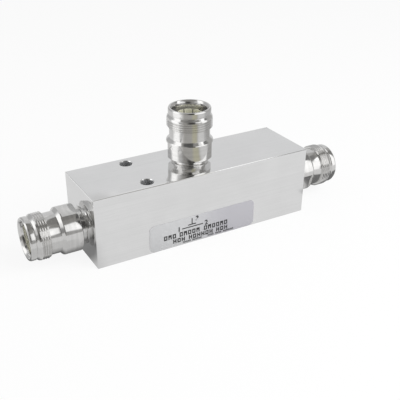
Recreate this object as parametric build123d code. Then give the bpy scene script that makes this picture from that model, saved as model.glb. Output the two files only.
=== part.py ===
"""A coaxial power tapper: a drilled square bar with a through line and a tap port.

Millimetres, +Z up. The through line runs along X, from the input at -X to the output at +X,
and the tap port stands on top. The label is on the front, at -Y. The origin lies in the
middle of the bar's underside.
"""
from math import cos, radians, sin
import os

from build123d import *

# The bar
bar_length = 104.8
bar_side = 31.75
edge_chamfer = 0.25
line_height = 13.4

# Mounting holes, one each side of the line bore
mount_hole_offset = -26.2
mount_hole_spacing = 21.1
mount_hole_radius = 2.8
mount_hole_chamfer = 0.2

# Line bore through the bar, the bore of the tap and the connectors, and the port threads
line_bore_radius = 6.35
coax_bore_radius = 5.0
stub_radius = 7.0
stub_length = 8.0
thread_gap = 0.03
port_hole_spare = 0.2

# Seal recess at each port, and the groove in the connector that faces it
seal_recess_radius = 7.55
seal_recess_depth = 0.9
seal_groove_radius = 6.75

# Punch mark that locks the input connector
punch_radius = 0.4
punch_depth = 0.35
punch_gap = 0.05
punch_angle = 27.0

# Connector body, heights counted outward from the bar's face
seat_radius = 8.2
seat_thickness = 0.4
neck_radius = 7.1
wrench_start = 2.8
wrench_radius = 10.25
wrench_chamfer = 0.3
across_flats = 19.0
flats_length = 7.0
ring_thickness = 0.7
shoulder_length = 1.1
waist_radius = 8.9
thread_start = 16.5
thread_length = 4.8
thread_radius = 9.97
thread_lead_in = 0.9
groove_radius = 9.0
groove_length = 0.6
collar_radius = 9.3
collar_lead_in = 0.3
body_reach = 25.0
rim_chamfer = 0.23

# Connector body, inside
mouth_radius = 8.35
mouth_depth = 1.9
well_radius = 7.5
well_depth = 13.0
seat_bore_radius = 6.2
bead_start = 3.5
bead_thickness = 3.5

# Slotted outer contact
basket_inner_radius = 5.0
basket_wall = 0.6
basket_setback = 3.0
basket_chamfer = 0.2
basket_slots = 8
basket_slot_width = 0.65
basket_slot_length = 8.5

# Slotted centre contact
contact_radius = 2.15
contact_setback = 7.0
contact_chamfer = 0.4
socket_radius = 1.2
socket_depth = 5.5
socket_slots = 4
socket_slot_width = 0.35
socket_slot_length = 4.5
bead_pin_radius = 1.75
stud_radius = 1.25
stud_length = 5.0
stud_hole_spare = 0.3

# Line rods in the bar's bores
line_rod_radius = 2.76
input_step_radius = 3.2
output_step_radius = 2.35
step_start = 22.0
tap_rod_radius = 1.3

# Hub that joins the three rods
hub_radius = 3.8
hub_length = 8.0
hub_flat_height = 3.5
spigot_radius = 2.0
spigot_gap = 2.6
tap_stud_radius = 1.0
tap_stud_length = 2.6

# Label on the front
label_width = 53.0
label_height = 12.8
label_offset = -2.0
label_corner = 2.4
label_thickness = 0.12
label_edge_gap = 0.05

# Clearance on the radius where a piece slides or presses into another
fit_gap = 0.02

# Each port: turn of the wrench flats about its axis, and of the contact slots
input_flats_turn = 8.0
output_flats_turn = 108.0
tap_flats_turn = -29.0
tap_slots_turn = 0.0


def turned(outline):
    """Revolves an outline of (radius, height) points about Z."""
    return revolve(Plane.XZ * Polygon(*outline, align=None), Axis.Z)


def rod(radius, low, high):
    """A round bar along Z between two heights."""
    return Pos(0, 0, low) * Cylinder(radius, high - low, align=(Align.CENTER, Align.CENTER, Align.MIN))


def side_port(side, turn):
    """The plane of a side port, with X along the wrench flats' normal."""
    across = (0, -sin(radians(turn)), cos(radians(turn)))
    return Plane(origin=(side * bar_length / 2, 0, line_height), x_dir=across, z_dir=(side, 0, 0))


def top_port(turn):
    """The plane of the tap port, with X along the wrench flats' normal."""
    across = (cos(radians(turn)), sin(radians(turn)), 0)
    return Plane(origin=(0, 0, bar_side), x_dir=across, z_dir=(0, 0, 1))


def port_hole():
    """What one port takes out of the bar: the threaded hole and its seal recess."""
    hole = rod(stub_radius + thread_gap, -stub_length - port_hole_spare, 0)
    return hole + rod(seal_recess_radius, -seal_recess_depth, 0)


def mount_hole():
    """A through hole with both ends chamfered."""
    flare = mount_hole_radius + mount_hole_chamfer
    top = bar_side - mount_hole_chamfer
    return turned([
        (0, 0), (flare, 0), (mount_hole_radius, mount_hole_chamfer),
        (mount_hole_radius, top), (flare, bar_side), (0, bar_side),
    ])


def housing():
    """The bar with its bores, ports and mounting holes."""
    bar = Pos(0, 0, bar_side / 2) * Box(bar_length, bar_side, bar_side)
    bar = chamfer(bar.edges(), edge_chamfer)
    bar -= Pos(0, 0, line_height) * Rot(0, 90, 0) * Cylinder(line_bore_radius, bar_length)
    bar -= rod(coax_bore_radius, line_height, bar_side)
    for plane in (input_port, output_port, tap_port):
        bar -= plane.location * port_hole()
    for side in (-1, 1):
        bar -= Pos(mount_hole_offset, side * mount_hole_spacing / 2, 0) * mount_hole()
    return bar - punch_mark()


def punch_mark():
    """The small cone beside the input connector's seat."""
    reach = seat_radius + punch_radius + punch_gap
    across, up = reach * sin(radians(punch_angle)), reach * cos(radians(punch_angle))
    cone = turned([(0, -punch_depth), (punch_radius, 0), (0, 0)])
    face = Plane(origin=(-bar_length / 2, across, line_height + up), z_dir=(-1, 0, 0))
    return face.location * cone


def body_outline():
    """The connector body's section, outside from the stub to the rim and back inside."""
    flats_end = wrench_start + flats_length
    shoulder = flats_end + ring_thickness
    thread_end = thread_start + thread_length
    groove_start = thread_end + thread_lead_in
    collar_start = groove_start + groove_length
    well_floor = body_reach - well_depth
    outside = [
        (stub_radius, -stub_length), (stub_radius, -seal_recess_depth),
        (seal_groove_radius, -seal_recess_depth), (seal_groove_radius, 0),
        (seat_radius, 0), (seat_radius, seat_thickness),
        (neck_radius, seat_thickness), (neck_radius, wrench_start),
        (wrench_radius - wrench_chamfer, wrench_start), (wrench_radius, wrench_start + wrench_chamfer),
        (wrench_radius, shoulder), (waist_radius, shoulder + shoulder_length),
        (waist_radius, thread_start), (thread_radius, thread_start), (thread_radius, thread_end),
        (groove_radius, groove_start), (groove_radius, collar_start),
        (collar_radius, collar_start + collar_lead_in), (collar_radius, body_reach - rim_chamfer),
        (collar_radius - rim_chamfer, body_reach),
    ]
    inside = [
        (mouth_radius, body_reach), (well_radius, body_reach - mouth_depth), (well_radius, well_floor),
        (seat_bore_radius, well_floor), (seat_bore_radius, bead_start),
        (coax_bore_radius, bead_start), (coax_bore_radius, -stub_length),
    ]
    return outside + inside


def connector_body():
    """A turned body with two wrench flats, standing on the plane of its port."""
    body = turned(body_outline())
    slab = 2 * wrench_radius
    middle = wrench_start + flats_length / 2
    for side in (-1, 1):
        place = Pos(side * (across_flats + slab) / 2, 0, middle)
        body -= place * Box(slab, 2 * slab, flats_length)
    return body


def radial_slots(count, width, reach, low, high):
    """Slots of one width that radiate from Z, evenly spaced, from low to high."""
    middle = (low + high) / 2
    blade = Pos(reach / 2, 0, middle) * Box(reach, width, high - low)
    return [Rot(0, 0, 360 * i / count) * blade for i in range(count)]


def contact_basket():
    """The outer contact: a sleeve slotted into spring fingers, on a solid collar."""
    outer = basket_inner_radius + basket_wall
    low = bead_start + bead_thickness
    floor = body_reach - well_depth
    high = body_reach - basket_setback
    collar = seat_bore_radius - fit_gap
    sleeve = turned([
        (basket_inner_radius, low), (collar, low), (collar, floor), (outer, floor),
        (outer, high - basket_chamfer), (outer - basket_chamfer, high), (basket_inner_radius, high),
    ])
    for slot in radial_slots(basket_slots, basket_slot_width, 2 * outer, high - basket_slot_length, high):
        sleeve -= slot
    return sleeve


def insulator_bead():
    """The disc that holds the centre contact, clamped behind the basket's collar."""
    high = bead_start + bead_thickness
    hole = bead_pin_radius + fit_gap
    edge = seat_bore_radius - fit_gap
    return turned([(hole, bead_start), (edge, bead_start), (edge, high), (hole, high)])


def centre_contact():
    """The socket that takes the mating pin, with its neck through the bead and its stud."""
    bead_end = bead_start + bead_thickness
    high = body_reach - contact_setback
    stud_end = bead_start - stud_length
    contact = turned([
        (0, stud_end), (stud_radius, stud_end), (stud_radius, bead_start),
        (bead_pin_radius, bead_start), (bead_pin_radius, bead_end), (contact_radius, bead_end),
        (contact_radius, high - contact_chamfer), (contact_radius - contact_chamfer, high),
        (socket_radius, high), (socket_radius, high - socket_depth), (0, high - socket_depth),
    ])
    for slot in radial_slots(socket_slots, socket_slot_width, 2 * contact_radius,
                             high - socket_slot_length, high):
        contact -= slot
    return contact


def port_seal():
    """The square-cut ring that fills the recess under the connector's seat."""
    inner, outer = seal_groove_radius + fit_gap, seal_recess_radius - fit_gap
    low, high = fit_gap - seal_recess_depth, -fit_gap
    return turned([(inner, low), (outer, low), (outer, high), (inner, high)])


def stud_socket():
    """What a centre contact's stud takes out of the rod behind it."""
    return rod(stud_radius + fit_gap, bead_start - stud_length - stud_hole_spare, bead_start)


def line_rod(side, step_radius):
    """A rod from one side port's bead to the hub, drawn from the hub outward along Z."""
    face = bar_length / 2
    shape = turned([
        (0, spigot_gap / 2), (spigot_radius, spigot_gap / 2), (spigot_radius, hub_length / 2),
        (step_radius, hub_length / 2), (step_radius, step_start), (line_rod_radius, step_start),
        (line_rod_radius, face - stub_length), (contact_radius, face - stub_length),
        (contact_radius, face + bead_start), (0, face + bead_start),
    ])
    shape -= Pos(0, 0, face) * stud_socket()
    return Plane(origin=(0, 0, line_height), z_dir=(side, 0, 0)).location * shape


def hub():
    """The sleeve that both line rods enter, with a flat and a threaded hole for the tap rod."""
    sleeve = rod(hub_radius, -hub_length / 2, hub_length / 2)
    sleeve -= rod(spigot_radius + fit_gap, -hub_length / 2, hub_length / 2)
    sleeve = Pos(0, 0, line_height) * Rot(0, 90, 0) * sleeve
    flat = Box(hub_length, 2 * hub_radius, hub_radius, align=(Align.CENTER, Align.CENTER, Align.MIN))
    sleeve -= Pos(0, 0, line_height + hub_flat_height) * flat
    sleeve -= Pos(0, 0, line_height) * rod(tap_stud_radius + fit_gap, 0, hub_radius)
    return sleeve


def tap_rod():
    """The rod from the hub up to the tap port's bead."""
    seat = line_height + hub_flat_height
    shape = turned([
        (0, seat - tap_stud_length), (tap_stud_radius, seat - tap_stud_length),
        (tap_stud_radius, seat), (tap_rod_radius, seat), (tap_rod_radius, bar_side - stub_length),
        (contact_radius, bar_side - stub_length), (contact_radius, bar_side + bead_start),
        (0, bar_side + bead_start),
    ])
    return shape - Pos(0, 0, bar_side) * stud_socket()


def rating_label():
    """A thin plate with rounded corners, stuck low on the front."""
    middle = edge_chamfer + label_edge_gap + label_height / 2
    front = Plane(origin=(label_offset, -bar_side / 2, middle), x_dir=(1, 0, 0), z_dir=(0, -1, 0))
    return extrude(front * RectangleRounded(label_width, label_height, label_corner), label_thickness)


input_port = side_port(-1, input_flats_turn)
output_port = side_port(1, output_flats_turn)
tap_port = top_port(tap_flats_turn)

nodes = {
    "housing": housing(),
    "input_line_rod": line_rod(-1, input_step_radius),
    "output_line_rod": line_rod(1, output_step_radius),
    "line_hub": hub(),
    "tap_line_rod": tap_rod(),
    "rating_label": rating_label(),
}
slot_turns = {"input": 0.0, "output": 0.0, "tap": tap_slots_turn - tap_flats_turn}
for name, plane in (("input", input_port), ("output", output_port), ("tap", tap_port)):
    turn = Rot(0, 0, slot_turns[name])
    nodes[name + "_connector_body"] = plane.location * connector_body()
    nodes[name + "_contact_basket"] = plane.location * turn * contact_basket()
    nodes[name + "_insulator_bead"] = plane.location * insulator_bead()
    nodes[name + "_centre_contact"] = plane.location * turn * centre_contact()
    nodes[name + "_port_seal"] = plane.location * port_seal()

os.makedirs("parts", exist_ok=True)
for name, shape in nodes.items():
    export_step(shape, "parts/" + name + ".step")
    print(name, round(shape.volume, 1), "mm3")
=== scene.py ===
# %% [markdown]
# # A coaxial power tapper
# The object is a square bar of bare aluminium with a coaxial line running through it. One connector
# is screwed into each end of the bar and a third, the tap, into its top. A foil label is stuck
# on the front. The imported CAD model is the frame: it fixes every size and place, and this script
# rebuilds the pieces that show, with the edges, threads and surfaces that a close look finds.
#
# Each piece is shaped in millimetres, standing upright at the origin where that is simplest. The last
# step moves it to its place in the frame and scales it to metres, so that the mesh itself holds the place.

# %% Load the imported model
from math import cos, degrees, pi, radians, sin, tan, tau

import bmesh
import bpy
from mathutils import Matrix, Vector


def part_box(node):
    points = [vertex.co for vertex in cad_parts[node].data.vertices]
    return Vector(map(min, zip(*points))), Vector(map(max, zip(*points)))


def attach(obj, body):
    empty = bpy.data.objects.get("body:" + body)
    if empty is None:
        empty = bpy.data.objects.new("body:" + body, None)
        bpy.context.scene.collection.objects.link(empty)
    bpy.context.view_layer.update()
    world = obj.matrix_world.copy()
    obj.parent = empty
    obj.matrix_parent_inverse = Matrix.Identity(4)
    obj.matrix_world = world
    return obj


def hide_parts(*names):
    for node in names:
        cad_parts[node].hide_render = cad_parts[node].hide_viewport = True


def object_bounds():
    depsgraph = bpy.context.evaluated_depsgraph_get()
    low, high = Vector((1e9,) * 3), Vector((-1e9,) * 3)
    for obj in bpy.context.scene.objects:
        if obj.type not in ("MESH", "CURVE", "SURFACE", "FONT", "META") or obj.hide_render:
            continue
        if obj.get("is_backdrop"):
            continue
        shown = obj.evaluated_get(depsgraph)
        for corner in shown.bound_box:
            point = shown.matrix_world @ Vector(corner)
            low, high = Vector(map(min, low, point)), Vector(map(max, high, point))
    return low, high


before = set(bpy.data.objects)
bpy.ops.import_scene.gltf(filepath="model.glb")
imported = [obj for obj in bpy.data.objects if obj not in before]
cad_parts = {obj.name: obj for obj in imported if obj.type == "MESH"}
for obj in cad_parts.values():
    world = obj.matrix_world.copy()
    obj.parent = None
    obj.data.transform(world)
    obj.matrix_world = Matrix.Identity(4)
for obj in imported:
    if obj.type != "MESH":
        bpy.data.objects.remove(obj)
cad_low, cad_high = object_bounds()
MM = 0.001
print("nodes in the frame:", len(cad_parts))

# %% [markdown]
# ## Sizes that the frame gives
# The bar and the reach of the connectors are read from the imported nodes, so the pieces here can't
# drift away from them. The line through the bar lies at the middle height of the end connectors.

# %% Read the bar and the ports
def corners(node):
    """Lowest and highest corner of a node, in millimetres."""
    low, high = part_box(node)
    return low / MM, high / MM


bar_low, bar_high = corners("housing")
input_low, input_high = corners("input_connector_body")
bar_length = bar_high.x - bar_low.x
bar_side = bar_high.z - bar_low.z
line_height = (input_low.z + input_high.z) / 2
wrench_radius = (input_high.z - input_low.z) / 2
body_reach = bar_low.x - input_low.x
print("bar", round(bar_length, 2), "x", round(bar_side, 2), "line at", round(line_height, 2),
      "reach", round(body_reach, 2))

# %% [markdown]
# ## Where each connector stands
# The three connectors are the same turned part, so one mesh serves all three. Each port has a plane:
# its origin on the bar's face, Z pointing out along the connector. The wrench leaves every body at
# its own angle, so a port also says how far its flats and its contact slots are turned.

# %% Place the ports
PORTS = {
    "input": {"face": (-bar_length / 2, 0, line_height), "lean": -90, "flats": -8, "slots": -8},
    "output": {"face": (bar_length / 2, 0, line_height), "lean": 90, "flats": -72, "slots": -72},
    "tap": {"face": (0, 0, bar_side), "lean": 0, "flats": -29, "slots": 0},
}


def port_place(port, turn=0):
    """The matrix from a connector's own upright frame to its port, in millimetres."""
    where = PORTS[port]
    lean = Matrix.Rotation(radians(where["lean"]), 4, "Y")
    return Matrix.Translation(where["face"]) @ lean @ Matrix.Rotation(radians(turn), 4, "Z")


for port in PORTS:
    print(port, "points along", tuple(round(v, 2) for v in port_place(port).col[2][:3]))

# %% [markdown]
# ## Turned solids
# A lathe part is a section spun about its axis. The section is drawn as a few corners, and a vertex
# bevel rounds each of them before the spin, which gives every ring edge the small radius that
# catches a line of light. Rounding afterwards would have to find those edges on a dense mesh.

# %% The lathe
SPIN_STEPS = 144
MERGE_DISTANCE = 1e-4


def lathe(outline, rounding=0.0, steps=SPIN_STEPS):
    """Spins an outline of (radius, height) corners about Z. It is closed, or ends on the axis."""
    bm = bmesh.new()
    verts = [bm.verts.new((radius, 0, height)) for radius, height in outline]
    on_axis = outline[0][0] == 0 and outline[-1][0] == 0
    following = verts[1:] if on_axis else verts[1:] + verts[:1]
    for here, there in zip(verts, following):
        bm.edges.new((here, there))
    if rounding:
        corner_verts = [v for v in verts if v.co.x > 0]
        bmesh.ops.bevel(bm, geom=corner_verts, offset=rounding, offset_type="OFFSET", segments=3,
                        profile=0.5, affect="VERTICES", clamp_overlap=True, material=-1)
    bmesh.ops.spin(bm, geom=bm.verts[:] + bm.edges[:], cent=(0, 0, 0), axis=(0, 0, 1), dvec=(0, 0, 0),
                   angle=tau, steps=steps, use_merge=True)
    bmesh.ops.remove_doubles(bm, verts=bm.verts, dist=MERGE_DISTANCE)
    bmesh.ops.recalc_face_normals(bm, faces=bm.faces)
    return bm


test = lathe([(1, 0), (2, 0), (2, 3), (1, 3)], 0.2, 12)
print("a test ring has", len(test.faces), "faces, open edges:", sum(e.is_boundary for e in test.edges))
test.free()

# %% [markdown]
# ## Cutting
# Slots, flats and drilled holes are cut with an exact boolean, as a mill or a drill would. The cutters
# are closed meshes a little longer than the cut. The result comes back as a bmesh, so that more
# operators can follow, such as the bevel that takes the burr off a cut.

# %% The cutter
def loose_object(bm, name):
    """An object for a bmesh, which the bmesh is emptied into."""
    mesh = bpy.data.meshes.new(name)
    bm.to_mesh(mesh)
    bm.free()
    obj = bpy.data.objects.new(name, mesh)
    bpy.context.scene.collection.objects.link(obj)
    return obj


def carve(bm, *cutters):
    """Takes each cutter out of a closed mesh, and returns what is left."""
    work = loose_object(bm, "work")
    tools = [loose_object(cutter, "cutter") for cutter in cutters]
    for tool in tools:
        cut = work.modifiers.new("cut", "BOOLEAN")
        cut.operation, cut.solver, cut.object = "DIFFERENCE", "EXACT", tool
    depsgraph = bpy.context.evaluated_depsgraph_get()
    left = bpy.data.meshes.new_from_object(work.evaluated_get(depsgraph))
    result = bmesh.new()
    result.from_mesh(left)
    meshes = [left, work.data] + [tool.data for tool in tools]
    for obj in [work] + tools:
        bpy.data.objects.remove(obj)
    for mesh in meshes:
        bpy.data.meshes.remove(mesh)
    bmesh.ops.remove_doubles(result, verts=result.verts, dist=MERGE_DISTANCE)
    return result


def block(bm, low, high):
    """Adds a box between two corners to a bmesh."""
    low, high = Vector(low), Vector(high)
    made = bmesh.ops.create_cube(bm, size=1.0)["verts"]
    bmesh.ops.scale(bm, vec=high - low, verts=made)
    bmesh.ops.translate(bm, vec=(low + high) / 2, verts=made)


test, notch = bmesh.new(), bmesh.new()
block(test, (0, 0, 0), (2, 2, 2))
block(notch, (1, 1, 1), (3, 3, 3))
notched = carve(test, notch)
print("a cube of", 2 ** 3, "with a notched corner keeps", round(notched.calc_volume(), 3))
notched.free()

# %% [markdown]
# ## Handing a piece over
# A finished bmesh is moved to its place, scaled to metres and made an object at the origin. Faces are
# smooth, and edges sharper than a small angle are kept crisp. The piece then rides on the row's
# one body and stands for its CAD node, which is hidden.

# %% The hand-over
SHARP_ANGLE = radians(28)


def hand_over(bm, name, place, node):
    """Makes a finished object of a bmesh and ties it to the frame."""
    bm.transform(Matrix.Scale(MM, 4) @ place)
    open_edges = sum(not e.is_manifold for e in bm.edges)
    obj = loose_object(bm, name)
    obj.data.shade_smooth()
    obj.data.set_sharp_from_angle(angle=SHARP_ANGLE)
    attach(obj, "root")
    if node:
        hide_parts(node)
    triangles = sum(len(p.vertices) - 2 for p in obj.data.polygons)
    print(name, "has", triangles, "triangles and", open_edges, "open edges")


print("edges of more than", round(degrees(SHARP_ANGLE)), "degrees stay crisp")

# %% [markdown]
# ## The connector body
# This is a brass turning: a stub that screws into the bar, a seat, a short neck, a wrench ring with
# two flats, a slim waist, the coupling thread with a back step, a run-out groove and a plain
# collar round the mouth. The mouth is a cone that turns steeper half way down, and below it lies a
# stepped well. One section holds all of this. Heights count outward from the bar's face.

# %% Sizes of the body
STUB_RADIUS, STUB_LENGTH = 7.0, 8.0
GROOVE_UNDER_SEAT = (6.75, 0.9)  # radius and depth
SEAT_RADIUS, SEAT_THICKNESS, SEAT_CREVICE = 8.2, 0.4, 0.22
NECK_RADIUS = 7.1
WRENCH_START, FLATS_LENGTH, ACROSS_FLATS = 2.8, 7.0, 19.0
WRENCH_CHAMFER, RING_THICKNESS, SHOULDER = 0.3, 0.7, 1.1
SHOULDER_EDGE = (0.13, 0.3)  # depth and width
WAIST_RADIUS = 8.9
THREAD_START, THREAD_LENGTH, THREAD_RADIUS = 16.5, 3.9, 9.97
LEAD_IN = [(9.75, 21.2), (9.0, 22.0)]  # radii and heights
RUNOUT_RADIUS, RUNOUT_END = 8.95, 22.3
COLLAR_RADIUS, COLLAR_STEP = 9.3, 0.3
RIM_RADIUS, RIM_LENGTH = 9.0, 0.55
MOUTH_RADIUS, MOUTH_DEPTH = 8.35, 1.9
MOUTH_CREASE = (7.72, 0.95)  # radius and depth
WELL_RADIUS, WELL_DEPTH = 7.5, 13.0
SEAT_BORE_RADIUS, COAX_BORE_RADIUS = 6.2, 5.0
BEAD_START, BEAD_THICKNESS = 3.5, 3.5
EDGE_ROUNDING = 0.07


def body_outline():
    """The body's section: outside from the stub to the rim, then inside back to the stub."""
    groove_radius, groove_depth = GROOVE_UNDER_SEAT
    edge_depth, edge_width = SHOULDER_EDGE
    crease_radius, crease_depth = MOUTH_CREASE
    shoulder = WRENCH_START + FLATS_LENGTH + RING_THICKNESS
    well_floor = body_reach - WELL_DEPTH
    outside = [
        (STUB_RADIUS, -STUB_LENGTH), (STUB_RADIUS, -groove_depth),
        (groove_radius, -groove_depth), (groove_radius, 0),
        (SEAT_RADIUS - SEAT_CREVICE, 0), (SEAT_RADIUS - SEAT_CREVICE, SEAT_CREVICE),
        (SEAT_RADIUS, SEAT_CREVICE), (SEAT_RADIUS, SEAT_THICKNESS),
        (NECK_RADIUS, SEAT_THICKNESS), (NECK_RADIUS, WRENCH_START),
        (wrench_radius - WRENCH_CHAMFER, WRENCH_START), (wrench_radius, WRENCH_START + WRENCH_CHAMFER),
        (wrench_radius, shoulder - edge_width), (wrench_radius - edge_depth, shoulder),
        (WAIST_RADIUS, shoulder + SHOULDER),
        (WAIST_RADIUS, THREAD_START), (THREAD_RADIUS, THREAD_START),
        (THREAD_RADIUS, THREAD_START + THREAD_LENGTH), *LEAD_IN,
        (RUNOUT_RADIUS, RUNOUT_END), (COLLAR_RADIUS, RUNOUT_END + COLLAR_STEP),
        (COLLAR_RADIUS, body_reach - RIM_LENGTH), (RIM_RADIUS, body_reach),
    ]
    inside = [
        (MOUTH_RADIUS, body_reach), (crease_radius, body_reach - crease_depth),
        (WELL_RADIUS, body_reach - MOUTH_DEPTH), (WELL_RADIUS, well_floor),
        (SEAT_BORE_RADIUS, well_floor), (SEAT_BORE_RADIUS, BEAD_START),
        (COAX_BORE_RADIUS, BEAD_START), (COAX_BORE_RADIUS, -STUB_LENGTH),
    ]
    return outside + inside


print("corners in the section:", len(body_outline()))

# %% [markdown]
# ## The coupling thread
# The thread is a metric one of 1 mm pitch. Its groove could be faked with rings, but a helix catches the
# light differently at each side. So the cutter is the groove's own section, spun with a step
# along the axis: one pitch for each full turn. It stops where the lead-in begins.

# %% The thread cutter
PITCH = 1.0
THREAD_DEPTH = 0.61
THREAD_TURNS = 5
ROOT_FLAT = PITCH / 4
CUTTER_SPARE = 0.02


def thread_cutter():
    """A helical trapezium that starts under the thread and ends at its lead-in."""
    low = THREAD_START + THREAD_LENGTH - THREAD_TURNS * PITCH
    root, top = THREAD_RADIUS - THREAD_DEPTH, THREAD_RADIUS + CUTTER_SPARE
    mouth = ROOT_FLAT + 2 * (top - root) * tan(radians(30))
    steps = THREAD_TURNS * SPIN_STEPS
    bm = bmesh.new()
    section = [(root, -ROOT_FLAT / 2), (top, -mouth / 2), (top, mouth / 2), (root, ROOT_FLAT / 2)]
    face = bm.faces.new([bm.verts.new((radius, 0, low + height)) for radius, height in section])
    bmesh.ops.spin(bm, geom=[face] + face.edges[:] + face.verts[:], cent=(0, 0, 0), axis=(0, 0, 1),
                   dvec=(0, 0, PITCH / SPIN_STEPS), angle=tau * THREAD_TURNS, steps=steps)
    bmesh.ops.holes_fill(bm, edges=[e for e in bm.edges if e.is_boundary], sides=4)
    bmesh.ops.recalc_face_normals(bm, faces=bm.faces)
    bm.transform(Matrix.Rotation(pi / 2, 4, "Z"))
    print("thread cutter:", len(bm.faces), "faces, open edges", sum(not e.is_manifold for e in bm.edges))
    return bm


# %% [markdown]
# ## The wrench flats
# Two blocks cut the ring to its width across flats and stop short of its outer end, which leaves a thin
# full ring. A milled edge is never left raw, so the convex edges round each flat get a small bevel.

# %% The body, cut
FLAT_EDGE = 0.08
SAME_PLANE = 0.01  # how far from its plane a flat's middle may lie
SQUARE_ON = 0.999  # how nearly its normal has to point along X


def flats_cutter():
    """Two blocks, one each side, that leave the width across the flats."""
    bm = bmesh.new()
    out, wide = 2 * wrench_radius, 2 * wrench_radius
    low, high = WRENCH_START - SHOULDER, WRENCH_START + FLATS_LENGTH
    block(bm, (ACROSS_FLATS / 2, -wide, low), (out, wide, high))
    block(bm, (-out, -wide, low), (-ACROSS_FLATS / 2, wide, high))
    return bm


def soften_flats(bm):
    """Bevels the convex edges between the flats and what surrounds them."""
    bm.normal_update()
    level = ACROSS_FLATS / 2
    flats = {f for f in bm.faces
             if abs(f.normal.x) > SQUARE_ON and abs(abs(f.calc_center_median().x) - level) < SAME_PLANE}
    edges = {e for f in flats for e in f.edges if e.is_convex and not set(e.link_faces) <= flats}
    bmesh.ops.bevel(bm, geom=list(edges), offset=FLAT_EDGE, offset_type="OFFSET", segments=2, profile=0.5,
                    affect="EDGES", clamp_overlap=True, material=-1)
    print("flat edges softened:", len(edges))


def connector_body():
    """One connector body, upright, threaded and with its flats."""
    bm = carve(lathe(body_outline(), EDGE_ROUNDING), thread_cutter(), flats_cutter())
    soften_flats(bm)
    return bm


body_mesh = connector_body()
for port, where in PORTS.items():
    hand_over(body_mesh.copy(), port + "_body", port_place(port, where["flats"]),
              port + "_connector_body")
body_mesh.free()

# %% [markdown]
# ## The contact basket
# The outer contact is a thin sleeve of spring bronze, slotted into eight fingers, on a collar
# that the body holds. Four blades through the axis cut all eight slots.

# %% The baskets
BASKET_INNER, BASKET_WALL, BASKET_SETBACK, BASKET_CHAMFER = 5.0, 0.6, 3.0, 0.2
BASKET_SLOTS, BASKET_SLOT_WIDTH, BASKET_SLOT_LENGTH = 8, 0.65, 8.5
FIT_GAP = 0.02
CONTACT_ROUNDING = 0.05


def blades(count, width, reach, low, high):
    """Blades through the axis, which cut twice as many slots as there are blades."""
    cutters = []
    for i in range(count):
        bm = bmesh.new()
        block(bm, (-reach, -width / 2, low), (reach, width / 2, high))
        bm.transform(Matrix.Rotation(pi * i / count, 4, "Z"))
        cutters.append(bm)
    return cutters


def contact_basket():
    """The slotted sleeve, upright."""
    outer, low = BASKET_INNER + BASKET_WALL, BEAD_START + BEAD_THICKNESS
    floor, high = body_reach - WELL_DEPTH, body_reach - BASKET_SETBACK
    collar = SEAT_BORE_RADIUS - FIT_GAP
    sleeve = lathe([
        (BASKET_INNER, low), (collar, low), (collar, floor), (outer, floor),
        (outer, high - BASKET_CHAMFER), (outer - BASKET_CHAMFER, high), (BASKET_INNER, high),
    ], CONTACT_ROUNDING)
    return carve(sleeve, *blades(BASKET_SLOTS // 2, BASKET_SLOT_WIDTH, 2 * outer,
                                 high - BASKET_SLOT_LENGTH, high + 1))


basket_mesh = contact_basket()
for port, where in PORTS.items():
    hand_over(basket_mesh.copy(), port + "_basket", port_place(port, where["slots"]),
              port + "_contact_basket")
basket_mesh.free()

# %% [markdown]
# ## The centre contact and its bead
# The inner contact is a socket for the plug's pin, with four fingers. Its neck passes through a white
# disc that holds it on the axis, and its stud goes into the rod behind. Both are lathe parts.

# %% The centre contacts and beads
CONTACT_RADIUS, CONTACT_SETBACK, CONTACT_CHAMFER = 2.15, 7.0, 0.4
SOCKET_RADIUS, SOCKET_DEPTH, SOCKET_SLOTS = 1.2, 5.5, 4
SOCKET_SLOT_WIDTH, SOCKET_SLOT_LENGTH = 0.35, 4.5
NECK_PIN_RADIUS, STUD_RADIUS, STUD_LENGTH = 1.75, 1.25, 5.0


def centre_contact():
    """The socket, its neck and its stud, upright."""
    bead_end, high = BEAD_START + BEAD_THICKNESS, body_reach - CONTACT_SETBACK
    stud_end, floor = BEAD_START - STUD_LENGTH, high - SOCKET_DEPTH
    solid = lathe([
        (0, stud_end), (STUD_RADIUS, stud_end), (STUD_RADIUS, BEAD_START),
        (NECK_PIN_RADIUS, BEAD_START), (NECK_PIN_RADIUS, bead_end), (CONTACT_RADIUS, bead_end),
        (CONTACT_RADIUS, high - CONTACT_CHAMFER), (CONTACT_RADIUS - CONTACT_CHAMFER, high),
        (SOCKET_RADIUS, high), (SOCKET_RADIUS, floor), (0, floor),
    ], CONTACT_ROUNDING, SPIN_STEPS // 2)
    return carve(solid, *blades(SOCKET_SLOTS // 2, SOCKET_SLOT_WIDTH, 2 * CONTACT_RADIUS,
                                high - SOCKET_SLOT_LENGTH, high + 1))


def insulator_bead():
    """The white disc round the neck, upright."""
    high = BEAD_START + BEAD_THICKNESS
    hole, edge = NECK_PIN_RADIUS + FIT_GAP, SEAT_BORE_RADIUS - FIT_GAP
    return lathe([(hole, BEAD_START), (edge, BEAD_START), (edge, high), (hole, high)],
                 CONTACT_ROUNDING, SPIN_STEPS // 2)


for port, where in PORTS.items():
    place = port_place(port, where["slots"])
    hand_over(centre_contact(), port + "_contact", place, port + "_centre_contact")
    hand_over(insulator_bead(), port + "_bead", place, port + "_insulator_bead")
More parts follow.
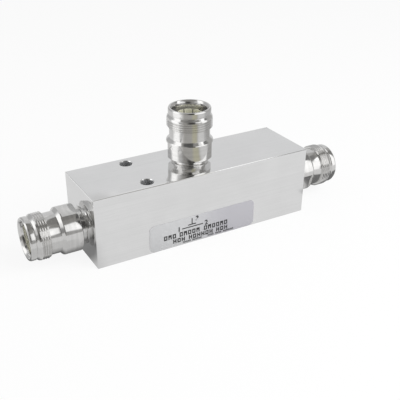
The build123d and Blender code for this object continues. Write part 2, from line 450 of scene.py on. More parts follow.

# %% [markdown]
# ## The bar
# The housing is a length of square bar with its edges broken. The line bore runs from end to end, the
# tap's bore meets it, and each port has a hole with a seal recess, threaded on the real bar and plain
# here. Two screw holes go right down through the bar, one each side of the line bore.

# %% Sizes of the bar
BAR_EDGE = 0.28
LINE_BORE_RADIUS = 6.35
PORT_HOLE_RADIUS, PORT_HOLE_DEPTH = 7.03, 8.2
SEAL_RECESS_RADIUS, SEAL_RECESS_DEPTH = 7.55, 0.9
SCREW_HOLE_X, SCREW_HOLE_SPACING, SCREW_HOLE_RADIUS, SCREW_HOLE_CHAMFER = -26.2, 21.1, 2.8, 0.32
PUNCH_REACH, PUNCH_ANGLE, PUNCH_RADIUS, PUNCH_DEPTH = 8.3, radians(27), 0.45, 0.4
SCREW_HOLE_STEPS, PUNCH_STEPS = 96, 24


def drilled(outline, place, steps=SPIN_STEPS):
    """A cutter turned from an outline and set in place."""
    bm = lathe(outline, steps=steps)
    bm.transform(place)
    return bm


def bar_cutters():
    """What the lathe and the drill take out of the bar."""
    beyond = 1.0
    along = Matrix.Translation((0, 0, line_height)) @ Matrix.Rotation(pi / 2, 4, "Y")
    half = bar_length / 2 + beyond
    yield drilled([(0, -half), (LINE_BORE_RADIUS, -half), (LINE_BORE_RADIUS, half), (0, half)], along)
    top = bar_side + beyond
    yield drilled([(0, line_height), (COAX_BORE_RADIUS, line_height), (COAX_BORE_RADIUS, top), (0, top)],
                  Matrix.Identity(4))
    port_hole = [(0, -PORT_HOLE_DEPTH), (PORT_HOLE_RADIUS, -PORT_HOLE_DEPTH),
                 (PORT_HOLE_RADIUS, -SEAL_RECESS_DEPTH), (SEAL_RECESS_RADIUS, -SEAL_RECESS_DEPTH),
                 (SEAL_RECESS_RADIUS, beyond), (0, beyond)]
    for port in PORTS:
        yield drilled(port_hole, port_place(port))
    flare = SCREW_HOLE_RADIUS + SCREW_HOLE_CHAMFER + beyond
    screw_hole = [(0, -beyond), (flare, -beyond), (SCREW_HOLE_RADIUS, SCREW_HOLE_CHAMFER),
                  (SCREW_HOLE_RADIUS, bar_side - SCREW_HOLE_CHAMFER), (flare, top), (0, top)]
    for side in (-1, 1):
        place = Matrix.Translation((SCREW_HOLE_X, side * SCREW_HOLE_SPACING / 2, 0))
        yield drilled(screw_hole, place, SCREW_HOLE_STEPS)


def punch_cutter():
    """A small cone beside the input connector's seat."""
    across, up = PUNCH_REACH * sin(PUNCH_ANGLE), PUNCH_REACH * cos(PUNCH_ANGLE)
    place = Matrix.Translation((0, across, up)) @ port_place("input")
    cone = [(0, -PUNCH_DEPTH), (2 * PUNCH_RADIUS, PUNCH_DEPTH), (0, PUNCH_DEPTH)]
    return drilled(cone, place, PUNCH_STEPS)


print("screw holes", 2 * SCREW_HOLE_RADIUS, "wide and", SCREW_HOLE_SPACING, "apart")

# %% [markdown]
# ## Small pits
# The photograph shows four small pits along the top of the front face: one short upright tick and three
# dots. Each is pressed in with a stretched ball, so it is a real dent that darkens by itself.

# %% The bar, cut
# Each pit is given by its X, its Z, half its width and half its height.
PITS = [(-41.4, 29.2, 0.10, 0.32), (-3.15, 30.9, 0.12, 0.12), (0.54, 30.8, 0.10, 0.10),
        (33.4, 30.8, 0.12, 0.10)]
PIT_DEPTH = 0.12


def pit_cutter(x, z, half_width, half_height):
    """A ball stretched to a pit's width and height, centred on the front face."""
    bm = bmesh.new()
    bmesh.ops.create_icosphere(bm, subdivisions=2, radius=1.0)
    bmesh.ops.scale(bm, vec=(half_width, PIT_DEPTH, half_height), verts=bm.verts)
    bmesh.ops.translate(bm, vec=(x, -bar_side / 2, z), verts=bm.verts)
    return bm


def bar():
    """The drilled bar in its place."""
    bm = bmesh.new()
    half_length, half_side = bar_length / 2, bar_side / 2
    block(bm, (-half_length, -half_side, 0), (half_length, half_side, bar_side))
    bmesh.ops.bevel(bm, geom=bm.edges[:], offset=BAR_EDGE, offset_type="OFFSET", segments=3, profile=0.5,
                    affect="EDGES", clamp_overlap=True, material=-1)
    pits = [pit_cutter(*pit) for pit in PITS]
    return carve(bm, *bar_cutters(), punch_cutter(), *pits)


hand_over(bar(), "drilled_bar", Matrix.Identity(4), "housing")

# %% [markdown]
# ## The label
# The label is a thin silver film with round corners. It could be one flat plane, but a real film
# has an edge that shows as a faint line, so it is a plate: a box whose four corners are
# bevelled to their radius, and whose outer rim is then softened.

# %% The label plate
LABEL_CORNER, LABEL_CORNER_SEGMENTS = 2.4, 10
LABEL_RIM = 0.04
PRINT_THICKNESS = 0.015
label_low, label_high = corners("rating_label")
print_face = label_low.y + PRINT_THICKNESS


def label_plate():
    """The film, a print's thickness short of the CAD plate."""
    bm = bmesh.new()
    block(bm, (label_low.x, print_face, label_low.z), label_high)
    upright = [e for e in bm.edges if abs(e.verts[0].co.y - e.verts[1].co.y) > LABEL_RIM]
    bmesh.ops.bevel(bm, geom=upright, offset=LABEL_CORNER, offset_type="OFFSET",
                    segments=LABEL_CORNER_SEGMENTS, profile=0.5, affect="EDGES", clamp_overlap=True,
                    material=-1)
    bm.normal_update()
    outer = [f for f in bm.faces if f.normal.y < -0.9][0]
    bmesh.ops.bevel(bm, geom=outer.edges[:], offset=LABEL_RIM, offset_type="OFFSET", segments=2,
                    profile=0.5, affect="EDGES", clamp_overlap=True, material=-1)
    return bm


hand_over(label_plate(), "label_plate", Matrix.Identity(4), "rating_label")

# %% [markdown]
# ## The print
# The real label carries wording, which isn't copied. In its place there is a plain diagram of the
# three ports, with the numbers 1 to 3, and rows of plain signs that stand for lines of writing. A
# sign is put together from blocks, each a thin plate on the film, so it keeps its place from any side.

# %% The printed blocks
# A word is given by its left end and the number of its signs.
LINES = [
    {"height": 5.6, "tall": 2.2, "pitch": 2.1, "words": [(-21.6, 3), (-14.0, 5), (-1.8, 6)]},
    {"height": 3.0, "tall": 2.1, "pitch": 2.1, "words": [(-17.2, 3), (-9.4, 6), (4.6, 3)]},
    {"height": 1.25, "tall": 0.9, "pitch": 0.8,
     "words": [(-12.3, 5), (-7.6, 6), (0.2, 4), (4.2, 4), (8.2, 7)]},
]
STROKE = 0.5
THROUGH_LINE = {"left": -12.7, "right": -2.2, "height": 8.1}
COUPLED_LINE = {"left": -9.8, "right": -5.75, "height": 9.2}
BRANCH_X, BRANCH_TOP = -7.76, 12.2
MARK_WIDTH, MARK_STROKE = 0.78, 0.33


def mark(bm, left, right, low, high):
    """A thin plate of ink on the film."""
    block(bm, (left, label_low.y, low), (right, print_face, high))


def diagram(bm):
    """The through line, the coupled line over it and the branch to the tap."""
    for line in (THROUGH_LINE, COUPLED_LINE):
        mark(bm, line["left"], line["right"], line["height"] - STROKE / 2, line["height"] + STROKE / 2)
    mark(bm, BRANCH_X - STROKE / 2, BRANCH_X + STROKE / 2, COUPLED_LINE["height"], BRANCH_TOP)


def sign(bm, kind, left, low, wide, tall):
    """One of three plain signs: a ring, a pair of joined bars or a block with a slit."""
    right, high, stroke = left + wide, low + tall, wide * MARK_STROKE
    mark(bm, left, left + stroke, low, high)
    mark(bm, right - stroke, right, low, high)
    if kind == 0:
        mark(bm, left + stroke, right - stroke, low, low + stroke)
        mark(bm, left + stroke, right - stroke, high - stroke, high)
    elif kind == 1:
        mark(bm, left + stroke, right - stroke, low + tall / 2 - stroke / 2, low + tall / 2 + stroke / 2)
    else:
        mark(bm, left + stroke, right - stroke, low + tall / 2, high)


def writing(bm):
    """Rows of signs in the place of the wording."""
    for row, line in enumerate(LINES):
        for start, letters in line["words"]:
            for i in range(letters):
                kind = (i * i + i + row) % 3
                sign(bm, kind, start + i * line["pitch"], line["height"] - line["tall"] / 2,
                     line["pitch"] * MARK_WIDTH, line["tall"])


ink = bmesh.new()
diagram(ink)
writing(ink)
hand_over(ink, "label_print", Matrix.Identity(4), None)

# %% [markdown]
# ## The port numbers
# The numbers say which port is which. Their strokes could be plates too, but round numerals are a job
# for a font: a text curve with a little depth, made a mesh at once so that it can be moved.

# %% The numerals
NUMBERS = [("1", -14.2, 8.1), ("2", -0.6, 8.1), ("3", -5.2, 11.4)]
NUMBER_SIZE = 3.3
NUMBER_WEIGHT = 0.12


def number_mesh(text):
    """A numeral as a mesh, lying flat at the origin."""
    curve = bpy.data.curves.new("numeral", "FONT")
    curve.body, curve.size = text, NUMBER_SIZE
    curve.align_x, curve.align_y = "CENTER", "CENTER"
    curve.extrude, curve.offset = PRINT_THICKNESS / 2, NUMBER_WEIGHT
    obj = bpy.data.objects.new("numeral", curve)
    bpy.context.scene.collection.objects.link(obj)
    mesh = bpy.data.meshes.new_from_object(obj.evaluated_get(bpy.context.evaluated_depsgraph_get()))
    bm = bmesh.new()
    bm.from_mesh(mesh)
    bpy.data.objects.remove(obj)
    bpy.data.meshes.remove(mesh)
    bmesh.ops.remove_doubles(bm, verts=bm.verts, dist=MERGE_DISTANCE)
    bmesh.ops.recalc_face_normals(bm, faces=bm.faces)
    return bm


for text, x, z in NUMBERS:
    middle = (label_low.y + print_face) / 2
    place = Matrix.Translation((x, middle, z)) @ Matrix.Rotation(pi / 2, 4, "X")
    hand_over(number_mesh(text), "port_number_" + text, place, None)

# %% [markdown]
# ## Shader maths
# A material is a graph of nodes. Written out node by node it is hard to read, so one small class wraps
# a socket: an expression such as `1 - mask` adds the Math node that it needs. A second
# class holds the material, and its one method adds any other node.

# %% Sockets that do sums
class Value:
    """One output socket of a material's graph."""

    def __init__(self, finish, socket):
        self.finish, self.socket = finish, socket

    def __add__(self, other):
        return self.finish.maths("ADD", self, other)

    def __radd__(self, other):
        return self.finish.maths("ADD", other, self)

    def __sub__(self, other):
        return self.finish.maths("SUBTRACT", self, other)

    def __rsub__(self, other):
        return self.finish.maths("SUBTRACT", other, self)

    def __mul__(self, other):
        return self.finish.maths("MULTIPLY", self, other)

    def __rmul__(self, other):
        return self.finish.maths("MULTIPLY", other, self)

    def __abs__(self):
        return self.finish.maths("ABSOLUTE", self)


class Finish:
    """A material with one Principled shader, and what feeds it."""

    def __init__(self, name, constants):
        self.material = bpy.data.materials.new(name)
        self.material.use_nodes = True
        self.tree = self.material.node_tree
        self.shader = self.tree.nodes["Principled BSDF"]
        for socket, value in constants.items():
            self.shader.inputs[socket].default_value = value

    def node(self, kind, settings, inputs, output=0):
        """Adds a node, with its settings first, and returns one of its outputs."""
        node = self.tree.nodes.new(kind)
        for key, value in settings.items():
            setattr(node, key, value)
        for key, value in inputs.items():
            self.join(value, node.inputs[key])
        return Value(self, node.outputs[output])

    def join(self, value, socket):
        """Links a value to a socket, or sets the socket to a number or colour."""
        if isinstance(value, Value):
            self.tree.links.new(value.socket, socket)
        else:
            socket.default_value = value

    def maths(self, operation, *values):
        """A sum of one, two or three values."""
        return self.node("ShaderNodeMath", {"operation": operation}, dict(enumerate(values)))

    def feed(self, socket, value):
        """Feeds one of the shader's own sockets."""
        self.join(value, self.shader.inputs[socket])

    def surface(self):
        """What the Principled shader gives."""
        return Value(self, self.shader.outputs[0])

    def blend(self, factor, first, second):
        """A mix of two shaders."""
        return self.node("ShaderNodeMixShader", {}, {0: factor, 1: first, 2: second})

    def show(self, shader):
        """Sends another shader to the output in place of the Principled one."""
        self.join(shader, self.tree.nodes["Material Output"].inputs["Surface"])

    def place(self, scale=(1, 1, 1)):
        """Object coordinates, stretched."""
        coordinates = self.node("ShaderNodeTexCoord", {}, {}, "Object")
        return self.node("ShaderNodeMapping", {"vector_type": "POINT"},
                         {"Vector": coordinates, "Scale": scale})

    def axes(self, vector):
        """The three numbers of a vector."""
        return [self.node("ShaderNodeSeparateXYZ", {}, {0: vector}, axis) for axis in "XYZ"]

    def noise(self, where, scale, detail=2.0, roughness=0.5):
        """A grey noise from 0 to 1."""
        return self.node("ShaderNodeTexNoise", {"noise_dimensions": "3D"},
                         {"Vector": where, "Scale": scale, "Detail": detail, "Roughness": roughness})

    def spread(self, value, low, high, to_low=0.0, to_high=1.0):
        """A smooth step from one number to another as a value goes from low to high."""
        return self.node("ShaderNodeMapRange", {"interpolation_type": "SMOOTHSTEP"},
                         {"Value": value, "From Min": low, "From Max": high, "To Min": to_low,
                          "To Max": to_high})

    def mix(self, factor, first, second):
        """A colour between two colours."""
        return self.node("ShaderNodeMix", {"data_type": "RGBA"}, {0: factor, 6: first, 7: second}, 2)

    def bump(self, height, distance, strength=1.0):
        """A bump of a height in metres."""
        return self.node("ShaderNodeBump", {},
                         {"Height": height, "Distance": distance, "Strength": strength})


def grey(level, warmth=0.0):
    """A grey colour. Warmth above 0 leans to yellow, below 0 to blue."""
    return (level * (1 + warmth), level * (1 + warmth / 3), level * (1 - warmth), 1.0)


def paint(finish, *names):
    """Gives the named objects one material."""
    for name in names:
        obj = bpy.data.objects[name]
        obj.data.materials.clear()
        obj.data.materials.append(finish.material)
    print(finish.material.name, "on", len(names), "objects")


print("a warm grey:", [round(part, 3) for part in grey(0.5, 0.1)])

# %% [markdown]
# ## Bare aluminium
# The bar is milled and buffed until the top and the ends mirror what stands on them. What stays of
# the milling are streaks along the bar, so a noise stretched along X varies the colour a little and
# tilts the surface by a hair, and soft clouds vary the gloss. Drilled walls are duller. They
# could be a second material, but a mask does it in one: how deep a point lies inside the bar's block.

# %% The bar's finish
MILLING_STREAKS = (14, 2600, 2600)  # changes of tone in a metre along X, Y and Z
CLOUDS = 55.0  # changes of gloss in a metre
DRILLED_DEPTH = (0.15, 0.4)  # how deep in the block a wall begins to count as drilled


def inside_bar(finish):
    """1 on the walls of the bores and 0 on the outside of the bar."""
    x, y, z = finish.axes(finish.place((1 / MM, 1 / MM, 1 / MM)))
    depth = finish.maths("MINIMUM", bar_length / 2 - abs(x), bar_side / 2 - abs(y))
    depth = finish.maths("MINIMUM", depth, bar_side / 2 - abs(z - bar_side / 2))
    return finish.spread(depth, *DRILLED_DEPTH)


def aluminium():
    finish = Finish("milled_aluminium", {})
    streaks = finish.noise(finish.place(MILLING_STREAKS), 1.0, 3.0, 0.55)
    clouds = finish.noise(finish.place(), CLOUDS, 3.0, 0.55)
    inside = inside_bar(finish)
    tone = streaks * 0.45 + clouds * 0.55
    face = finish.mix(finish.spread(tone, 0.3, 0.7), grey(0.865), grey(0.925))
    finish.feed("Base Color", finish.mix(inside, face, grey(0.80, -0.01)))
    finish.feed("Metallic", 1 - 0.2 * inside)
    finish.feed("Roughness", 0.07 + 0.06 * clouds + 0.04 * inside)
    finish.feed("Normal", finish.bump(streaks, 1.5e-6, 0.5))
    return finish


paint(aluminium(), "drilled_bar")

# %% [markdown]
# ## Plated brass
# The bodies are bright plated over fine turning marks. The marks are rings, so their pattern
# depends only on the height along the connector's axis and the distance from it. A Mapping
# node brings the object's coordinates into the connector's own frame first. The straight walls
# inside the mouth are duller, and a mask finds them by their height and radius.

# %% A connector's own frame
WELL_FLOOR_FADE, WELL_TOP_FADE = 1.0, 0.6
WELL_WALL_FADE = (0.1, 0.3)  # how far behind the wall the mask begins and ends to fall to 0


def own_frame(finish, port):
    """Object coordinates in a connector's own frame, split into height and radius."""
    place = port_place(port)
    coordinates = finish.node("ShaderNodeTexCoord", {}, {}, "Object")
    local = finish.node("ShaderNodeMapping", {"vector_type": "TEXTURE"},
                        {"Vector": coordinates, "Location": place.translation * MM,
                         "Rotation": place.to_euler()})
    height = finish.node("ShaderNodeSeparateXYZ", {}, {0: local}, "Z")
    flat = finish.node("ShaderNodeVectorMath", {"operation": "MULTIPLY"}, {0: local, 1: (1, 1, 0)})
    radius = finish.node("ShaderNodeVectorMath", {"operation": "LENGTH"}, {0: flat}, "Value")
    return height, radius


def in_the_well(finish, height, radius):
    """1 on the straight walls inside the mouth, and 0 elsewhere."""
    floor, top = body_reach - WELL_DEPTH, body_reach - MOUTH_DEPTH
    above = finish.spread(height, (floor - WELL_FLOOR_FADE) * MM, floor * MM)
    below = finish.spread(height, (top - WELL_TOP_FADE) * MM, top * MM, 1.0, 0.0)
    near, far = WELL_WALL_FADE
    within = finish.spread(radius, (WELL_RADIUS + near) * MM, (WELL_RADIUS + far) * MM, 1.0, 0.0)
    return above * below * within


print("the dull walls are", round(WELL_DEPTH - MOUTH_DEPTH, 2), "mm deep")

# %% The turned finishes
FINE_RINGS, BROAD_RINGS = 9000, 900  # changes of tone in a metre of section
STAINS = 350.0


def turned(name, port, dark, light, gloss, metal, well=0.0):
    """A turned metal surface with ring marks. The straight walls of a well are less of a mirror."""
    finish = Finish(name, {})
    height, radius = own_frame(finish, port)
    rings = finish.node("ShaderNodeTexNoise", {"noise_dimensions": "1D"},
                        {"W": (height + radius) * FINE_RINGS, "Scale": 1.0, "Detail": 3.0,
                         "Roughness": 0.6})
    bands = finish.node("ShaderNodeTexNoise", {"noise_dimensions": "1D"},
                        {"W": (height + radius) * BROAD_RINGS, "Scale": 1.0, "Detail": 1.0,
                         "Roughness": 0.5})
    stains = finish.noise(finish.place(), STAINS, 3.0, 0.6)
    tone = 0.5 * stains + 0.5 * bands
    finish.feed("Base Color", finish.mix(finish.spread(tone, 0.35, 0.65), dark, light))
    inner = in_the_well(finish, height, radius)
    finish.feed("Metallic", metal - well * inner)
    finish.feed("Roughness", gloss + 0.06 * rings + 0.5 * well * inner)
    finish.feed("Normal", finish.bump(rings, 3e-6, 0.5))
    return finish


for port in PORTS:
    brass = turned(port + "_plated_brass", port, grey(0.725, 0.01), grey(0.78, 0.01),
                   gloss=0.08, metal=1.0, well=0.12)
    paint(brass, port + "_body")
    silver = turned(port + "_silver_plate", port, (0.83, 0.82, 0.68, 1.0), (0.90, 0.89, 0.75, 1.0),
                    gloss=0.35, metal=0.6)
    paint(silver, port + "_basket", port + "_contact")

# %% [markdown]
# ## What the connectors hold
# The bead is a white fluoropolymer with a waxy gloss, and the seals are black rubber. The rods and
# the hub in the bar's bores are silver-plated like the contacts. The beads show only deep in the
# mouths, and the rest not at all until the tapper is taken apart, but each has its own finish all
# the same. A soft noise in the colour is enough for pieces that get this little light.

# %% Beads, seals and rods
def plastic():
    finish = Finish("white_fluoropolymer", {"Roughness": 0.42, "Coat Weight": 0.1})
    cloud = finish.noise(finish.place(), 400.0)
    finish.feed("Base Color", finish.mix(cloud, grey(0.80, 0.01), grey(0.88, 0.01)))
    return finish


def rubber():
    finish = Finish("black_rubber", {"Roughness": 0.6})
    grain = finish.noise(finish.place(), 2500.0, 4.0)
    finish.feed("Base Color", finish.mix(grain, grey(0.02), grey(0.045)))
    finish.feed("Normal", finish.bump(grain, 1e-5))
    return finish


def silver_rod():
    finish = Finish("silver_rod", {"Metallic": 1.0})
    cloud = finish.noise(finish.place(), 300.0, 3.0)
    finish.feed("Base Color", finish.mix(cloud, grey(0.72, 0.08), grey(0.86, 0.06)))
    finish.feed("Roughness", 0.2 + 0.1 * cloud)
    return finish


paint(plastic(), *(port + "_bead" for port in PORTS))
paint(rubber(), *(port + "_port_seal" for port in PORTS))
paint(silver_rod(), "input_line_rod", "output_line_rod", "tap_line_rod", "line_hub")

# %% [markdown]
# ## Film and ink
# The film is a satin silver polyester, a shade darker than the bar. Its right half is painted darker
# than its left: painted shade for the darker reflection it shows there. A picture could hold that, but a
# colour that changes along X does it without one. The ink is a soft black that doesn't shine.

# %% The label's finish
FILM_PAINTED_SHADE = (-14, 12)  # the X at which the film begins and ends to darken


def film():
    finish = Finish("silver_film", {"Roughness": 0.38})
    fibre = finish.noise(finish.place(), 900.0, 3.0)
    tone = finish.mix(fibre, grey(0.52, -0.01), grey(0.56, -0.01))
    across = finish.node("ShaderNodeSeparateXYZ", {}, {0: finish.place((1 / MM, 1 / MM, 1 / MM))}, "X")
    # Painted shade: the film's colour darkens towards its right end.
    painted_shade = finish.spread(across, *FILM_PAINTED_SHADE)
    finish.feed("Base Color", finish.mix(painted_shade, tone, (0.425, 0.42, 0.45, 1.0)))
    finish.feed("Normal", finish.bump(fibre, 4e-6, 0.4))
    return finish


def black_ink():
    finish = Finish("printing_ink", {"Roughness": 0.55})
    patches = finish.noise(finish.place(), 1500.0, 3.0)
    finish.feed("Base Color", finish.mix(patches, grey(0.022), grey(0.04)))
    return finish


paint(film(), "label_plate")
paint(black_ink(), "label_print", *("port_number_" + text for text, x, z in NUMBERS))

# %% [markdown]
# ## The studio
# Polished metal has little look of its own: it shows the room. So the studio is built for what the
# metal sees. The floor and the world are white and light the object at a plain level. The floor is
# brightened where it is seen, with part of its soft shadow kept. In mirrors it has dark places close
# round the object, deeper than a real floor's shade, which were tuned until the metal matched the
# photograph. They are soft fields of paint, measured in millimetres.

# %% Fields of paint
def band(finish, value, low, high, soft):
    """1 between two numbers and 0 outside them, with soft edges."""
    rise = finish.spread(value, low - soft, low + soft)
    return rise * finish.spread(value, high - soft, high + soft, 1.0, 0.0)


def painted(finish, ground, first, second, fields):
    """A ground colour with fields over it, each a range of two measures."""
    colour = ground
    for firsts, seconds, soft, paint_colour in fields.values():
        field = band(finish, first, *firsts, soft) * band(finish, second, *seconds, soft)
        colour = finish.mix(field, colour, paint_colour)
    return colour


# %% The floor
FLOOR_HALF = 3.0
GLOW_SEEN, GLOW_MIRRORED = 0.89, 0.85
OPEN_FLOOR = grey(0.69)
# A painted shadow, which only mirrors see, is its range of X, its range of Y, its softness and its colour.
FLOOR_PAINTED_SHADOWS = {
    "right_of_the_bar": ((66, 104), (-26, 40), 3, grey(0.07)),
    "before_the_input": ((-94, -50), (-36, -6), 4, grey(0.57)),
    "behind_the_left_end": ((-66, -40), (-9, 30), 5, grey(0.21)),
    "under_the_input": ((-84, -61), (-4, 14), 3, grey(0.10)),
}


def floor_finish():
    """White paint that is brightened where it is seen, with the shadow kept, and painted shadows where it
    is mirrored.
    """
    finish = Finish("floor_paint", {"Base Color": grey(0.92), "Roughness": 0.9})
    camera_ray, glossy_ray, clear_ray = [
        finish.node("ShaderNodeLightPath", {}, {}, f"Is {kind} Ray")
        for kind in ("Camera", "Glossy", "Transmission")]
    share = GLOW_SEEN * camera_ray + GLOW_MIRRORED * (glossy_ray + clear_ray)
    x, y, z = finish.axes(finish.place((1 / MM, 1 / MM, 1 / MM)))
    # The floor as mirrors see it, darkened by the painted shadows.
    mirrored = painted(finish, OPEN_FLOOR, x, y, FLOOR_PAINTED_SHADOWS)
    tone = finish.mix(camera_ray, mirrored, grey(1.0))
    glow = finish.node("ShaderNodeEmission", {}, {"Color": tone, "Strength": 1.0})
    finish.show(finish.blend(share, finish.surface(), glow))
    return finish


floor_mesh = bmesh.new()
bmesh.ops.create_grid(floor_mesh, x_segments=1, y_segments=1, size=FLOOR_HALF)
floor = loose_object(floor_mesh, "floor")
floor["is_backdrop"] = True
paint(floor_finish(), "floor")

# %% The world
WORLD_DIFFUSE = 0.45
world = bpy.data.worlds.new("studio")
bpy.context.scene.world = world
world.use_nodes = True
nodes, links = world.node_tree.nodes, world.node_tree.links
path = nodes.new("ShaderNodeLightPath")
level = nodes.new("ShaderNodeMapRange")
level.inputs["To Min"].default_value = 1.0
level.inputs["To Max"].default_value = WORLD_DIFFUSE
links.new(path.outputs["Is Diffuse Ray"], level.inputs["Value"])
links.new(level.outputs["Result"], nodes["Background"].inputs["Strength"])
nodes["Background"].inputs["Color"].default_value = grey(1.0)
print("the world is white and lights matt surfaces at", WORLD_DIFFUSE)

# %% [markdown]
# ## A painted dome
# The bands on the connectors are the lights and flags of the studio, seen in a curved mirror. They could be
# a dozen separate panels. Here they are fields painted on one dome, because a painted field can have
# a soft edge. A field is a range of azimuth, from the front round to the right, and of elevation.
# Where two fields meet, the later one covers the earlier. Mirror rays, followed from the photograph
# back to the dome, gave their places and tones, which were then tuned for that one view.

# %% Bearings
DEGREES = 180 / pi


def bearing(finish, centre):
    """Azimuth and elevation of each point of a stage piece, in degrees, as seen from a centre."""
    away = finish.node("ShaderNodeVectorMath", {"operation": "SUBTRACT"}, {0: finish.place(), 1: centre})
    x, y, z = finish.axes(away)
    ground = finish.maths("SQRT", x * x + y * y)
    return DEGREES * finish.maths("ARCTAN2", x, 0 - y), DEGREES * finish.maths("ARCTAN2", z, ground)


def reflect_only(obj):
    """Hides a stage piece from every ray but the mirrored ones."""
    for ray in ("camera", "diffuse", "transmission", "shadow"):
        setattr(obj, "visible_" + ray, False)


# %% The dome
DOME_CENTRE = Vector((0, 0, 0.02))
DOME_RADIUS = 0.5
DOME_WALL = grey(0.68, -0.005)
# A field is its range of azimuth, its range of elevation, its softness and its colour.
FIELDS = {
    "back_left_wall": ((-182, -134), (-5, 45), 5, grey(0.48, -0.005)),
    "back_right_wall": ((126, 178), (42, 64), 4, grey(0.59)),
    "back_glow": ((144, 168), (40, 47), 3, grey(0.78)),
    "left_light": ((-126, -50), (-5, 66), 7, grey(1.30)),
    "left_dark": ((-82, -40), (-20, 14), 4, grey(0.27)),
    "left_soft": ((-88, -44), (14, 60), 9, grey(0.60)),
    "camera_side": ((-66, 8), (-20, 68), 14, grey(0.30, 0.03)),
    "camera_dark": ((-38, 6), (-20, 68), 12, grey(0.06, 0.03)),
    "camera_foot": ((-70, 0), (-20, 6), 8, grey(0.30, 0.03)),
    "right_wall": ((64, 118), (-5, 56), 6, grey(0.43, 0.01)),
    "right_dark": ((60, 96), (34, 60), 4, grey(0.22, 0.01)),
    "softbox": ((0, 61), (15, 47), 3, grey(1.10)),
    "softbox_heart": ((14, 57), (6, 36), 6, grey(1.28)),
    "softbox_foot": ((35, 61), (-2, 14), 4, grey(1.2)),
    "table_front": ((-4, 33), (-5, 12), 4, grey(0.38, 0.01)),
    "ceiling_flag": ((-90, 112), (50, 95), 4, grey(0.28, 0.03)),
    "ceiling_top": ((-200, 200), (68, 95), 4, grey(0.22, 0.03)),
    "ceiling_sheet": ((36, 66), (50, 60), 3, grey(0.91)),
    "edge_light": ((46, 63), (38, 51), 3, grey(1.5)),
    "ceiling_right": ((84, 132), (58, 68), 3, grey(1.3)),
    "ceiling_core": ((-76, 0), (60, 76), 4, grey(0.09)),
}


def dome_finish():
    """The fields, one over the other."""
    finish = Finish("dome_paint", {"Base Color": grey(0.0), "Roughness": 1.0, "Emission Strength": 1.0})
    azimuth, elevation = bearing(finish, DOME_CENTRE)
    finish.feed("Emission Color", painted(finish, DOME_WALL, azimuth, elevation, FIELDS))
    return finish


dome_mesh = bmesh.new()
bmesh.ops.create_uvsphere(dome_mesh, u_segments=48, v_segments=24, radius=DOME_RADIUS)
bmesh.ops.translate(dome_mesh, vec=DOME_CENTRE, verts=dome_mesh.verts)
dome = loose_object(dome_mesh, "dome")
dome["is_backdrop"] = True
reflect_only(dome)
paint(dome_finish(), "dome")

# %% [markdown]
# ## A glowing disc for the tap
# The tap stands upright, so its walls mirror what lies low around it. The floor could be painted for
# that, but the bar hides most of it. So a flat disc hangs just under the level of the bar's top. It
# glows with painted light and shade in sectors, which the tap's walls mirror. It shows from above only,
# so that the pieces below don't see it.

# %% The disc
DISC_RADIUS = 0.45
DISC_DROP = 0.3
DISC_TONE = grey(0.65)
# A sector is its range of azimuth, its softness and its colour.
# Each sector glows with painted light or painted shade.
SECTORS = {
    "far_left": ((-121, -40), 7, grey(1.10)),
    "camera_side": ((-68, 14), 16, grey(0.37, 0.03)),
    "front": ((-16, 9), 7, (0.47, 0.455, 0.355, 1.0)),
    "light": ((15, 54), 9, grey(0.67)),
    "right": ((52, 112), 8, grey(0.46)),
}


def disc_finish():
    """A glow in sectors above, and nothing below."""
    finish = Finish("disc_paint", {"Base Color": grey(0.0), "Roughness": 1.0, "Emission Strength": 1.0})
    azimuth, elevation = bearing(finish, DOME_CENTRE)
    colour = DISC_TONE
    for azimuths, soft, paint_colour in SECTORS.values():
        colour = finish.mix(band(finish, azimuth, *azimuths, soft), colour, paint_colour)
    finish.feed("Emission Color", colour)
    below = finish.node("ShaderNodeNewGeometry", {}, {}, "Backfacing")
    clear = finish.node("ShaderNodeBsdfTransparent", {}, {})
    finish.show(finish.blend(below, finish.surface(), clear))
    return finish


disc_mesh = bmesh.new()
bmesh.ops.create_circle(disc_mesh, cap_ends=True, radius=DISC_RADIUS, segments=64)
bmesh.ops.translate(disc_mesh, vec=(0, 0, (bar_side - DISC_DROP) * MM), verts=disc_mesh.verts)
disc_mesh.normal_update()
bmesh.ops.reverse_faces(disc_mesh, faces=[face for face in disc_mesh.faces if face.normal.z < 0])
disc = loose_object(disc_mesh, "disc")
disc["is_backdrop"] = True
reflect_only(disc)
paint(disc_finish(), "disc")
print("the disc faces up:", disc.data.polygons[0].normal.z > 0)

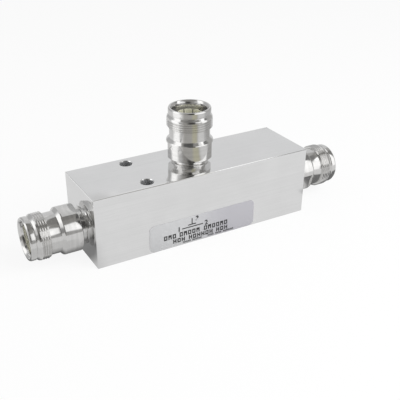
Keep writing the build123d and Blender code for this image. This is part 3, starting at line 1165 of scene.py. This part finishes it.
# %% [markdown]
# ## Lamps
# The lamps only light what isn't a mirror: the floor, the label and the beads. The key stands where
# the softbox shows, so that the shadow falls away from it.

# %% Set the lamps
def lamp(name, azimuth, elevation, distance, size, energy):
    """A square lamp that faces the object and stays out of reflections."""
    a, e = radians(azimuth), radians(elevation)
    way = Vector((sin(a) * cos(e), -cos(a) * cos(e), sin(e)))
    light = bpy.data.lights.new(name, "AREA")
    light.size, light.energy = size, energy
    obj = bpy.data.objects.new(name, light)
    obj.location = DOME_CENTRE + way * distance
    obj.rotation_euler = way.to_track_quat("Z", "Y").to_euler()
    obj.visible_glossy = False
    bpy.context.scene.collection.objects.link(obj)
    print(name, "lamp of", energy, "W stands", distance, "m away")


lamp("key", azimuth=32, elevation=42, distance=0.65, size=0.45, energy=3.4)
lamp("left_fill", azimuth=-110, elevation=40, distance=0.65, size=0.4, energy=0.4)

# %% [markdown]
# ## The camera
# The photograph's camera was found by fitting the bar's corners. It stands close, to the left and
# above, and its axis misses the middle of the picture a little, as in a cropped photograph.

# %% Place the camera
CAMERA_PLACE = (-0.135215, -0.240938, 0.155397)
CAMERA_TURN = (61.3228, 0.4081, -28.7099)
CAMERA_LENS, CAMERA_SENSOR = 61.37, 36.0
CAMERA_SHIFT = (0.04705, 0.0363)
camera = bpy.data.objects.new("camera", bpy.data.cameras.new("camera"))
bpy.context.scene.collection.objects.link(camera)
bpy.context.scene.camera = camera
camera.location = CAMERA_PLACE
camera.rotation_euler = [radians(angle) for angle in CAMERA_TURN]
camera.data.sensor_width = CAMERA_SENSOR
camera.data.lens = CAMERA_LENS
camera.data.shift_x, camera.data.shift_y = CAMERA_SHIFT
camera.data.clip_start = 0.01
print("the camera stands", round(Vector(CAMERA_PLACE).length, 3), "m from the origin")

bpy.context.scene.view_settings.view_transform = "Standard"

# %% [markdown]
# ## Boxes
# The visual model's box is measured against the CAD model's box, and how far it lies outside is printed.
# The visual model has to stay inside the CAD model's box.

# %% Measure the boxes
low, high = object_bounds()
past_the_box = (*(cad_low - low), *(high - cad_high))
print("outside the CAD box by (mm):", [round(max(gap, 0) / MM, 4) for gap in past_the_box])
